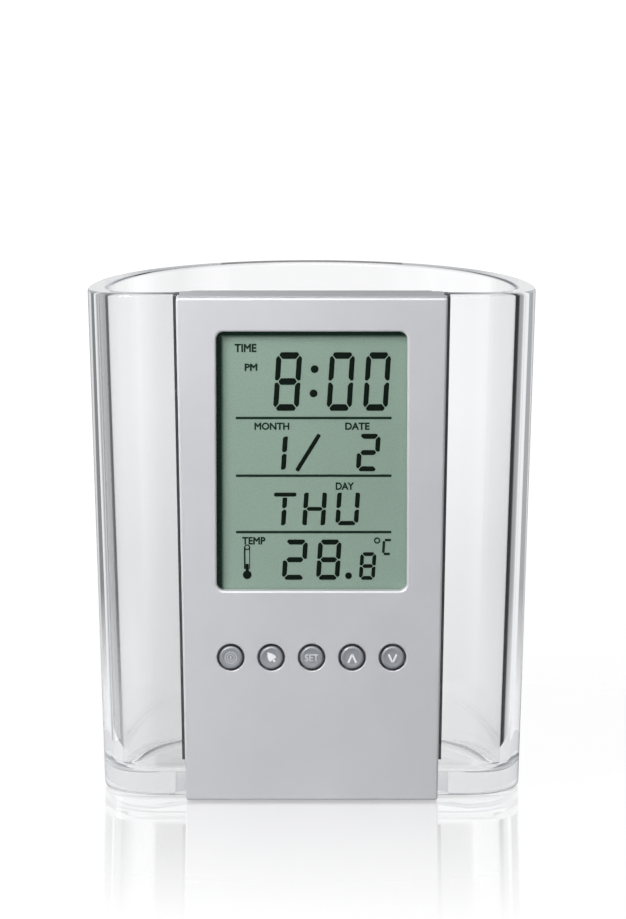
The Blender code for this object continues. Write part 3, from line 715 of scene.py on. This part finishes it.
def strokeBar(x, z, length, width, degrees, roundness=0.5, face=printSizes["face"]):
    # a short printed stroke with rounded ends
    front, back = printDepths(face)
    bar = addBlock("stroke", length / 2, front, back, -width / 2, width / 2)
    openMesh(bar)
    pickEdgesAlongY(bar)
    roundPicked(width * roundness * 0.98, 4)  # stops just short of meeting in the middle
    closeMesh(bar)
    setTurned(bar, x, z, -degrees)
    return bar


def ringPrint(x, z, outer, inner, face=printSizes["face"], around=40):
    front, back = printDepths(face)
    ring = addRod("ring", x, z, front, back, outer, around)
    core = addRod("core", x, z, front - cutPast, back + cutPast, inner, around)
    boolean(ring, core)
    return ring


def letters(name, text, x, z, height, face=printSizes["face"], wide=1.0, bold=0.0):
    # a plain word: made as text, turned into a mesh and set upright at x, z
    startClean()
    bpy.ops.object.text_add()
    word = bpy.context.object
    word.data.body = text
    word.data.align_x = "CENTER"
    word.data.align_y = "BOTTOM_BASELINE"
    word.data.extrude = half = 0.05
    word.data.bevel_depth = bold
    word.data.bevel_resolution = 0
    word.data.resolution_u = 6
    bpy.ops.object.convert(target="MESH")
    word = bpy.context.object
    word.name = word.data.name = name
    spots = [v.co for v in word.data.vertices]
    left, right = min(spot.x for spot in spots), max(spot.x for spot in spots)
    scale = height / max(spot.y for spot in spots)
    front, back = printDepths(face)
    shape = (Matrix.Translation((x, (front + back) / 2, z))
             @ Matrix.Rotation(math.pi / 2, 4, "X")
             @ Matrix.Diagonal((scale * wide, scale, (back - front) / half / 2, 1))
             @ Matrix.Translation((-(left + right) / 2, 0, 0)))
    word.data.transform(shape)
    openMesh(word)
    closeMesh(word)
    return word


def bellPrint(x, z):
    # a little bell, tilted, with a knob above and its clapper below
    size = bellSizes
    front, back = printDepths(printSizes["face"])
    bell = addRod("bell", 0, 0, front, back, size["radius"], 32)
    openMesh(bell, "VERT")
    shape = bmesh.from_edit_mesh(bell.data)
    for vert in shape.verts:
        if vert.co.z < 0:
            vert.co.x *= 1.0 + size["flare"] * (-vert.co.z / size["radius"]) ** 2
            vert.co.z = max(vert.co.z * size["tall"], size["mouth"])
        else:
            vert.co.x *= size["crown"]
            vert.co.z *= size["tall"]
    bmesh.update_edit_mesh(bell.data)
    bpy.ops.mesh.select_all(action="SELECT")
    stretchPicked((size["whole"], 1, size["whole"]), (0, 0, 0))
    closeMesh(bell)
    clapper = addRod("clapper", 0, size["clapperLow"], front, back, size["clapper"], 20)
    knob = addRod("knob", 0, size["knobHigh"], front, back, size["knob"], 20)
    whole = joinPieces([bell, clapper, knob], "bell")
    setTurned(whole, x, z, size["tilt"])
    return whole


def makeButtons():
    size = printSizes
    z = frontSizes["buttonRow"]
    cap = makeCap()
    names = ("mode", "alarm", "set", "up", "down")
    for name, x in zip(names, buttonPlaces):
        button = copyOf(cap, f"{name}Button", Matrix.Translation((x, 0, 0)))
        button.data.materials.append(capPlastic)
        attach(button, f"{name}_button")
        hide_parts(f"button_{name}")
    bpy.data.objects.remove(cap, do_unlink=True)
    left, alarm, middle, up, down = buttonPlaces
    dial = [ringPrint(left, z, *size["dialOuter"]), ringPrint(left, z, *size["dialInner"]),
            strokeBar(left, z, *size["dialHand"])]
    printPiece("dialPrint", dial, greyPrint, "mode_button")
    bell = bellPrint(alarm, z + size["bellUp"])
    printPiece("bellPrint", [bell], whitePrint, "alarm_button")
    word = letters("setPrint", "SET", middle, z - size["wordLow"], size["wordTall"],
                   wide=size["wordWide"], bold=size["wordBold"])
    printPiece("setPrint", [word], greyPrint, "set_button")
    for name, x, way in (("up", up, 1), ("down", down, -1)):
        arms = [strokeBar(x + side * size["armAside"], z - size["armDown"], *size["arm"],
                          -side * way * size["armTurn"]) for side in (-1, 1)]
        printPiece(f"{name}Print", arms, whitePrint, f"{name}_button")


makeButtons()
print("buttons made")


# ---- what the display shows

displaySizes = {"glass": -0.028325, "ink": 0.00003, "inkRoot": 0.00001, "slant": 0.064,
                "mitre": 0.17, "barMitre": 0.42, "bold": 0.034}


def figurePiece(points, roundness):
    # one segment: a flat outline, given its thickness and rounded corners
    startClean()
    bpy.ops.mesh.primitive_circle_add(vertices=len(points), radius=0.001, fill_type="NGON",
                                      rotation=(math.pi / 2, 0, 0))
    piece = settle(bpy.context.object, "segment")
    openMesh(piece, "VERT")
    shape = bmesh.from_edit_mesh(piece.data)
    for vert, (x, z) in zip(shape.verts, points):
        vert.co = (x, displaySizes["inkRoot"], z)
    bmesh.update_edit_mesh(piece.data)
    bpy.ops.mesh.select_all(action="SELECT")
    pushPicked(-displaySizes["ink"] - displaySizes["inkRoot"])
    pickEdgesAlongY(piece, reach=1e-8)
    roundPicked(roundness, 3)
    closeMesh(piece)
    return piece


segmentsOf = {"0": "abcdef", "1": "rs", "2": "abged", "8": "abcdefg", "T": "tuv", "H": "BCEFg",
              "U": "BcdeF"}


def segmentOutlines(w, h, level, upright):
    # small letters meet their neighbours at mitres; capitals have free ends
    half = h / 2
    side = w / 2

    def across(points):
        return [(-x, z) for x, z in points]

    def upsideDown(points):
        return [(x, h - z) for x, z in points]

    def bothSides(points):
        # each point: how far in from the side, and its height
        return ([(side - inwards, z) for inwards, z in points]
                + [(inwards - side, z) for inwards, z in reversed(points)])

    closed = [(-side, h - 0.86 * level), (-side + 0.42 * upright, h - 0.50 * level),
              (-side + upright, h - 1.08 * level), (-side + upright, half + 0.56 * level),
              (-side + 0.5 * upright, half + 0.11 * level), (-side, half + 0.24 * level)]
    free = [(-side, h - 0.3 * upright), (-side + 0.3 * upright, h), (-side + upright, h),
            (-side + upright, half + 0.56 * level), (-side + 0.5 * upright, half + 0.16 * level),
            (-side, half + 0.3 * level)]
    cap = bothSides([(0.86 * upright, h), (0.54 * upright, h - 0.40 * level),
                     (1.18 * upright, h - level)])
    middle = bothSides([(1.14 * upright, half + level / 2), (0.68 * upright, half),
                        (1.14 * upright, half - level / 2)])
    bar = bothSides([(0, h), (0, h - level)])
    stem = [(-upright / 2, h - 0.3 * upright), (-0.1 * upright, h), (upright / 2, h),
            (upright / 2, half + 0.5 * upright), (0, half + 0.08 * upright),
            (-upright / 2, half + 0.34 * upright)]
    return {"f": closed, "b": across(closed), "e": upsideDown(closed),
            "c": across(upsideDown(closed)), "F": free, "B": across(free),
            "E": upsideDown(free), "C": across(upsideDown(free)), "a": cap, "d": upsideDown(cap),
            "g": middle, "r": stem, "s": upsideDown(across(stem)), "t": bar,
            "u": [(x, min(z, h - 1.25 * level)) for x, z in stem],
            "v": upsideDown(across(stem))}


def makeFigure(char, centreX, low, width, height, level, upright):
    size = displaySizes
    outlines = segmentOutlines(width, height, level, upright)
    bars = []
    for key in segmentsOf[char]:
        roundness = size["barMitre"] * level if key == "t" else size["mitre"] * upright
        points = outlines[key]
        if key == "u":  # cut level under its bar, so it has a corner less
            points = points[:1] + points[2:]
        bars.append(figurePiece(points, roundness))
    figure = joinPieces(bars, "figure")
    lean = Matrix.Identity(4)
    lean[0][2] = size["slant"]
    middle = centreX - size["slant"] * height / 2
    figure.data.transform(Matrix.Translation((middle, size["glass"], low)) @ lean)
    return figure


def dotPrint(x, z, radius, around):
    size = displaySizes
    return addRod("dot", x, z, size["glass"] - size["ink"], size["glass"] + size["inkRoot"],
                  radius, around)


# figures: sign, middle, low end, width, height and the strokes level and upright
# words: what they say, middle, foot, height and how wide they are drawn
# dots: middle, radius and steps round; rings: middle, outer and inner radius and steps round
# strokes: middle, length, width, degrees up from level and how round the ends are
displayPieces = {
    "clockFigures": {
        "figures": [("8", -0.00492, 0.08143, 0.00525, 0.01211, 0.00138, 0.00106),
                    ("0", 0.00595, 0.08143, 0.00512, 0.01211, 0.00138, 0.00104),
                    ("0", 0.01336, 0.08143, 0.00505, 0.01211, 0.00138, 0.00104)],
        "dots": [(0.0006, 0.09005, 0.0008, 28), (0.00037, 0.08503, 0.0008, 28)]},
    "dateFigures": {
        "figures": [("1", -0.00559, 0.06922, 0.0045, 0.00690, 0.00105, 0.00100),
                    ("2", 0.0116, 0.06888, 0.00465, 0.00779, 0.00105, 0.00098)],
        "strokes": [(-0.00073, 0.07277, 0.0089, 0.00085, 58.6, 0.3)]},
    "dayLetters": {
        "figures": [("T", -0.00563, 0.05766, 0.0046, 0.00679, 0.00082, 0.00096),
                    ("H", 0.0006, 0.05766, 0.0047, 0.00679, 0.00080, 0.00094),
                    ("U", 0.00739, 0.05766, 0.0047, 0.00679, 0.00088, 0.00094)]},
    "heatFigures": {
        "figures": [("2", -0.00345, 0.04625, 0.0049, 0.00842, 0.00106, 0.00098),
                    ("8", 0.00352, 0.04625, 0.0048, 0.00842, 0.00106, 0.00098),
                    ("8", 0.0115, 0.04625, 0.0033, 0.00577, 0.00080, 0.00078)],
        "dots": [(0.00757, 0.04711, 0.0007, 28)]},
    "displayRules": {
        "strokes": [(0.00041, z, 0.0319, 0.00052, 0, 0.2) for z in (0.07994, 0.06796, 0.05622)]},
    # the degree sign's ring and its letter C stand among the words
    "displayWords": {
        "words": [("TIME", -0.01351, 0.09362, 0.00165, 0.90),
                  ("PM", -0.0124, 0.08974, 0.00145, 1.06),
                  ("MONTH", -0.00815, 0.07755, 0.00145, 0.98),
                  ("DATE", 0.00935, 0.07755, 0.00145, 1.0),
                  ("DAY", 0.00681, 0.06509, 0.00148, 0.9),
                  ("TEMP", -0.01189, 0.05371, 0.0015, 0.93)],
        "rings": [(0.01344, 0.05446, 0.00066, 0.00036, 40)],
        "strokes": [(0.01566, 0.05456, 0.0013, 0.00054, 0, 0.4),
                    (0.01544, 0.05166, 0.0013, 0.00054, 0, 0.4),
                    (0.01478, 0.05311, 0.0025, 0.00054, 86.3, 0.4)]},
    # bulb, hollow stem with a round top and the filled column in it
    "thermometer": {
        "dots": [(-0.01325, 0.0473, 0.0009, 32)],
        "rings": [(-0.01325, 0.05305, 0.00060, 0.00036, 28)],
        "strokes": [(-0.01325, 0.04865, 0.0019, 0.00066, 90, 0.3),
                    (-0.01375, 0.0508, 0.0046, 0.00032, 90, 0.4),
                    (-0.01275, 0.0508, 0.0046, 0.00018, 90, 0.4)]}}


def makeDisplay():
    glass = displaySizes["glass"]
    bold = displaySizes["bold"]
    for name, rows in displayPieces.items():
        parts = [makeFigure(*row) for row in rows.get("figures", [])]
        parts += [letters("word", word, x, z, tall, glass, wide, bold)
                  for word, x, z, tall, wide in rows.get("words", [])]
        parts += [dotPrint(*row) for row in rows.get("dots", [])]
        parts += [ringPrint(x, z, outer, inner, glass, around)
                  for x, z, outer, inner, around in rows.get("rings", [])]
        parts += [strokeBar(*row, glass) for row in rows.get("strokes", [])]
        ink = ruleInk if name in ("displayRules", "displayWords") else segmentInk
        printPiece(name, parts, ink, "clock")


makeDisplay()
print("display made")


# ---- finishes on the pieces that stay as the CAD has them

nodeFinishes = [
    (darkPlastic, ["rear_housing", "battery_door"]),
    (displayGreen, ["lcd_front_glass", "lcd_rear_glass"]),
    (reflectorFoil, ["lcd_reflector"]), (whitePlastic, ["lcd_holder"]),
    (greyRubber, ["zebra_strip", "button_pad"]), (boardLaminate, ["circuit_board"]),
    (blackResin, ["chip_seal", "temperature_sensor"]),
    (brightSteel, ["quartz_crystal", "battery_cell_left", "battery_cell_right",
                   "board_screw_1", "board_screw_2", "case_screw_1", "case_screw_2",
                   "case_screw_3", "case_screw_4"]),
    (springBrass, ["contact_negative", "contact_positive", "door_contact", "sounder_disc"])]
for finish, names in nodeFinishes:
    for name in names:
        for place in nodes[name].material_slots:
            place.material = finish
print("finishes set on", sum(len(names) for finish, names in nodeFinishes), "nodes")


# ---- floor, light and camera

def stageFinish(name):
    finish, tree, shader = newFinish(name)
    tree.nodes.remove(shader)
    return finish, tree


def finishCard(card, finish, inMirrors):
    # a card lights nothing: it shows in reflections only, or through the plastic only
    finish.cycles.emission_sampling = "NONE"
    card.data.materials.append(finish)
    card.visible_camera = card.visible_diffuse = card.visible_shadow = False
    card.visible_glossy = inMirrors
    card.visible_transmission = not inMirrors


floorLook = {
    "reach": 6.0, "under": -0.00002, "lit": (0.66, 0.66, 0.66), "white": 1.06,
    "whiteNear": 0.90, "whiteRange": (0.10, 0.34), "paintedShadeNear": 0.88,
    "throughRange": (0.04, 0.5), "mirror": 0.56, "mirrorRange": (0.03, 0.14),
    "mirrorGloss": 0.03, "lowRange": (0.5, 0.82)}


def makeFloor():
    # looked at, the floor is nearly white; shadows and a faint mirror show near the object
    look = floorLook
    startClean()
    bpy.ops.mesh.primitive_circle_add(vertices=96, radius=look["reach"], fill_type="NGON",
                                      location=(0, 0, look["under"]))
    floor = settle(bpy.context.object, "floor")
    finish, tree = stageFinish("floorWhite")
    place = addNode(tree, "TexCoord", {})["Object"]
    away = addNode(tree, "VectorMath", {0: place}, "LENGTH")["Value"]
    rays = addNode(tree, "LightPath", {})
    # painted shade: seen through the plastic, the floor's glow is made greyer near by
    through = spread(tree, away, look["paintedShadeNear"], look["white"], *look["throughRange"])
    glow = blend(tree, rays["Is Transmission Ray"], look["white"], through, "FLOAT")
    white = addNode(tree, "Emission", {"Strength": glow})["Emission"]
    lit = addNode(tree, "BsdfDiffuse", {"Color": look["lit"]})["BSDF"]
    seen = maths(tree, "MAXIMUM", rays["Is Camera Ray"], rays["Is Transmission Ray"])
    share = spread(tree, away, look["whiteNear"], 1.0, *look["whiteRange"])
    ground = mixShaders(tree, maths(tree, "MULTIPLY", share, seen), lit, white)
    # the gloss shows close to the object and at a low look only
    mirror = addNode(tree, "BsdfGlossy", {"Roughness": look["mirrorGloss"],
                                          "Color": (1, 1, 1)})["BSDF"]
    fade = spread(tree, away, look["mirror"], 0.0, *look["mirrorRange"])
    facing = addNode(tree, "LayerWeight", {})["Facing"]
    low = spread(tree, facing, 0, 1, *look["lowRange"])
    shown = maths(tree, "MULTIPLY", maths(tree, "MULTIPLY", low, fade), rays["Is Camera Ray"])
    setSurface(tree, mixShaders(tree, shown, ground, mirror))
    floor.data.materials.append(finish)


# each card: degrees round from straight behind, right positive, and how light it is;
# over lowRange up from the desk the low cards give way to the others
sleeveLook = {
    "radius": 0.075, "high": 0.2, "tint": (1.0, 1.01, 1.035),
    "lowRange": (0.008, 0.032), "bounces": 0.5,
    "cards": [(-180, 0.40), (-97, 0.37), (-95.5, 0.12), (-91.5, 0.12),
              (-89.5, 0.26), (-80, 0.31), (-64, 0.37), (-57, 0.50), (-50, 0.80),
              (-44, 1.0), (-34, 1.0), (-33, 0.22), (-20, 0.40), (0, 0.42),
              (20, 0.44), (35, 0.46), (36, 1.0), (60, 1.0), (62, 0.86),
              (66, 0.64), (71, 0.47), (78, 0.38), (83, 0.36), (86, 0.10),
              (87.5, 0.012), (95, 0.012), (97, 0.36), (180, 0.40)],
    "lowCards": [(-180, 0.44), (-97, 0.44), (-80, 0.44), (-64, 0.48), (-57, 0.60),
                 (-50, 0.90), (-44, 1.0), (-28, 1.0), (-22, 0.86), (0, 0.80),
                 (22, 0.92), (28, 1.0), (61, 1.0), (66, 0.86), (74, 0.72),
                 (83, 0.50), (86, 0.10), (87.5, 0.012), (95, 0.012), (97, 0.36),
                 (180, 0.40)]}


def makeSleeve():
    # light cards round the object: only light that has bounced inside clear plastic meets
    # them, so the cup's edges get grey and dark lines while all else stays white
    look = sleeveLook
    startClean()
    bpy.ops.mesh.primitive_cylinder_add(vertices=128, radius=look["radius"],
                                        end_fill_type="NOTHING", depth=look["high"],
                                        location=(0, 0, look["high"] / 2))
    sleeve = settle(bpy.context.object, "sleeve")
    finish, tree = stageFinish("sleeveCards")
    axes = axesOf(tree)
    angle = maths(tree, "ARCTAN2", axes["X"], axes["Y"])
    turn = maths(tree, "ADD", maths(tree, "DIVIDE", angle, 2 * math.pi), 0.5)
    glows = []
    for cards in (look["lowCards"], look["cards"]):
        stops = [(degrees / 360 + 0.5, [min(light * share, 1.0) for share in look["tint"]])
                 for degrees, light in cards]
        glow = addNode(tree, "Emission", {"Color": rampOf(tree, turn, stops)})
        glows.append(glow["Emission"])
    level = spread(tree, axes["Z"], 0, 1, *look["lowRange"])
    rays = addNode(tree, "LightPath", {})
    bounced = maths(tree, "GREATER_THAN", rays["Glossy Depth"], look["bounces"])
    clear = addNode(tree, "BsdfTransparent", {})["BSDF"]
    setSurface(tree, mixShaders(tree, bounced, clear, mixShaders(tree, level, *glows)))
    finishCard(sleeve, finish, False)


worldLook = {"low": 0.80, "high": 0.18, "top": 0.9, "tint": (0.96, 0.98, 1.0),
             "ceiling": 0.18, "ceilingRange": (0.35, 0.75)}


def makeWorld():
    # white to look at and through; what it lights with is paler low down than overhead
    look = worldLook
    world = bpy.data.worlds.new("studio")
    bpy.context.scene.world = world
    world.use_nodes = True
    tree = world.node_tree
    tree.nodes.clear()
    tree.nodes.new("ShaderNodeOutputWorld")
    rays = addNode(tree, "LightPath", {})
    seen = maths(tree, "MAXIMUM", rays["Is Camera Ray"], rays["Is Transmission Ray"])
    up = axesOf(tree, "Generated")["Z"]
    soft = addNode(tree, "Background", {
        "Color": look["tint"],
        "Strength": spread(tree, up, look["low"], look["high"], 0.0, look["top"])})
    # through the plastic the ceiling is dark
    bent = maths(tree, "MULTIPLY", spread(tree, up, 0, 1, *look["ceilingRange"]),
                 rays["Is Transmission Ray"])
    white = addNode(tree, "Background", {
        "Color": (1, 1, 1), "Strength": spread(tree, bent, 1, look["ceiling"], 0, 1)})
    setSurface(tree, mixShaders(tree, maths(tree, "MAXIMUM", seen, rays["Is Glossy Ray"]),
                                soft["Background"], white["Background"]), "World Output")


backCardLook = {
    "behind": 0.06, "thick": 0.002, "half": 0.042, "low": 0.1075, "high": 0.30,
    "dark": 0.03, "pale": 0.5, "paleTo": 0.1108, "darkFrom": 0.1128,
    "fadeFrom": 0.030}


def makeBackCard():
    # a card that only reflections see: dark for the narrow top of the clock, paler low down
    # for the cup's back rim, and fading out sideways
    look = backCardLook
    card = addBlock("backCard", look["half"], look["behind"], look["behind"] + look["thick"],
                    look["low"], look["high"])
    finish, tree = stageFinish("backCardGrey")
    axes = axesOf(tree)
    up = spread(tree, axes["Z"], look["pale"], look["dark"], look["paleTo"], look["darkFrom"])
    aside = spread(tree, maths(tree, "ABSOLUTE", axes["X"]), 0, 1, look["fadeFrom"],
                   look["half"])
    light = maths(tree, "MAXIMUM", up, aside)
    setSurface(tree, addNode(tree, "Emission", {"Strength": light})["Emission"])
    finishCard(card, finish, True)


# each lamp: name, place, what it points at, width, height, power and whether it lights
lampRows = [("key", (-0.140, -0.165, 0.222), (0, 0, 0.08), 0.09, 0.09, 0.64, True),
            ("fill", (0.6, -0.7, 0.25), (0, 0, 0.05), 0.6, 0.6, 0.12, True),
            ("topGleam", (0, -0.26, 0.50), (0, -0.03, 0.105), 0.3, 0.3, 0.9, False),
            ("leftGleam", (-0.085, -0.020, 0.062), (-0.0285, -0.03, 0.062), 0.014, 0.124, 0.014,
             False)]


def makeLamps():
    for name, place, aim, wide, tall, power, lights in lampRows:
        startClean()
        bpy.ops.object.light_add(type="AREA", location=place)
        lamp = bpy.context.object
        lamp.name = name + "Lamp"
        lamp.data.energy = power
        lamp.data.shape = "RECTANGLE"
        lamp.data.size = wide
        lamp.data.size_y = tall
        # a gleam lamp draws bright lines on rounded edges and lights nothing else
        lamp.visible_camera = False
        lamp.visible_diffuse = lamp.visible_transmission = lights
        lamp.rotation_euler = (Vector(aim) - Vector(place)).to_track_quat("-Z", "Y").to_euler()


cameraLook = {"aim": (0.00027, -0.025125, 0.0708), "distance": 1.100, "rise": 9.4,
              "lens": 209.7, "sensor": 36.0, "near": 0.01}


def makeCamera():
    look = cameraLook
    rise = math.radians(look["rise"])
    aim = Vector(look["aim"])
    place = aim + Vector((0, -math.cos(rise), math.sin(rise))) * look["distance"]
    startClean()
    bpy.ops.object.camera_add(location=place, rotation=(math.pi / 2 - rise, 0, 0))
    camera = bpy.context.object
    camera.name = "photoCamera"
    camera.data.sensor_fit = "VERTICAL"
    camera.data.sensor_height = look["sensor"]
    camera.data.lens = look["lens"]
    camera.data.clip_start = look["near"]
    bpy.context.scene.camera = camera


makeFloor()
makeBackCard()
makeSleeve()
makeWorld()
makeLamps()
makeCamera()
bpy.context.scene.view_settings.view_transform = "Standard"
print("stage ready")

startClean()
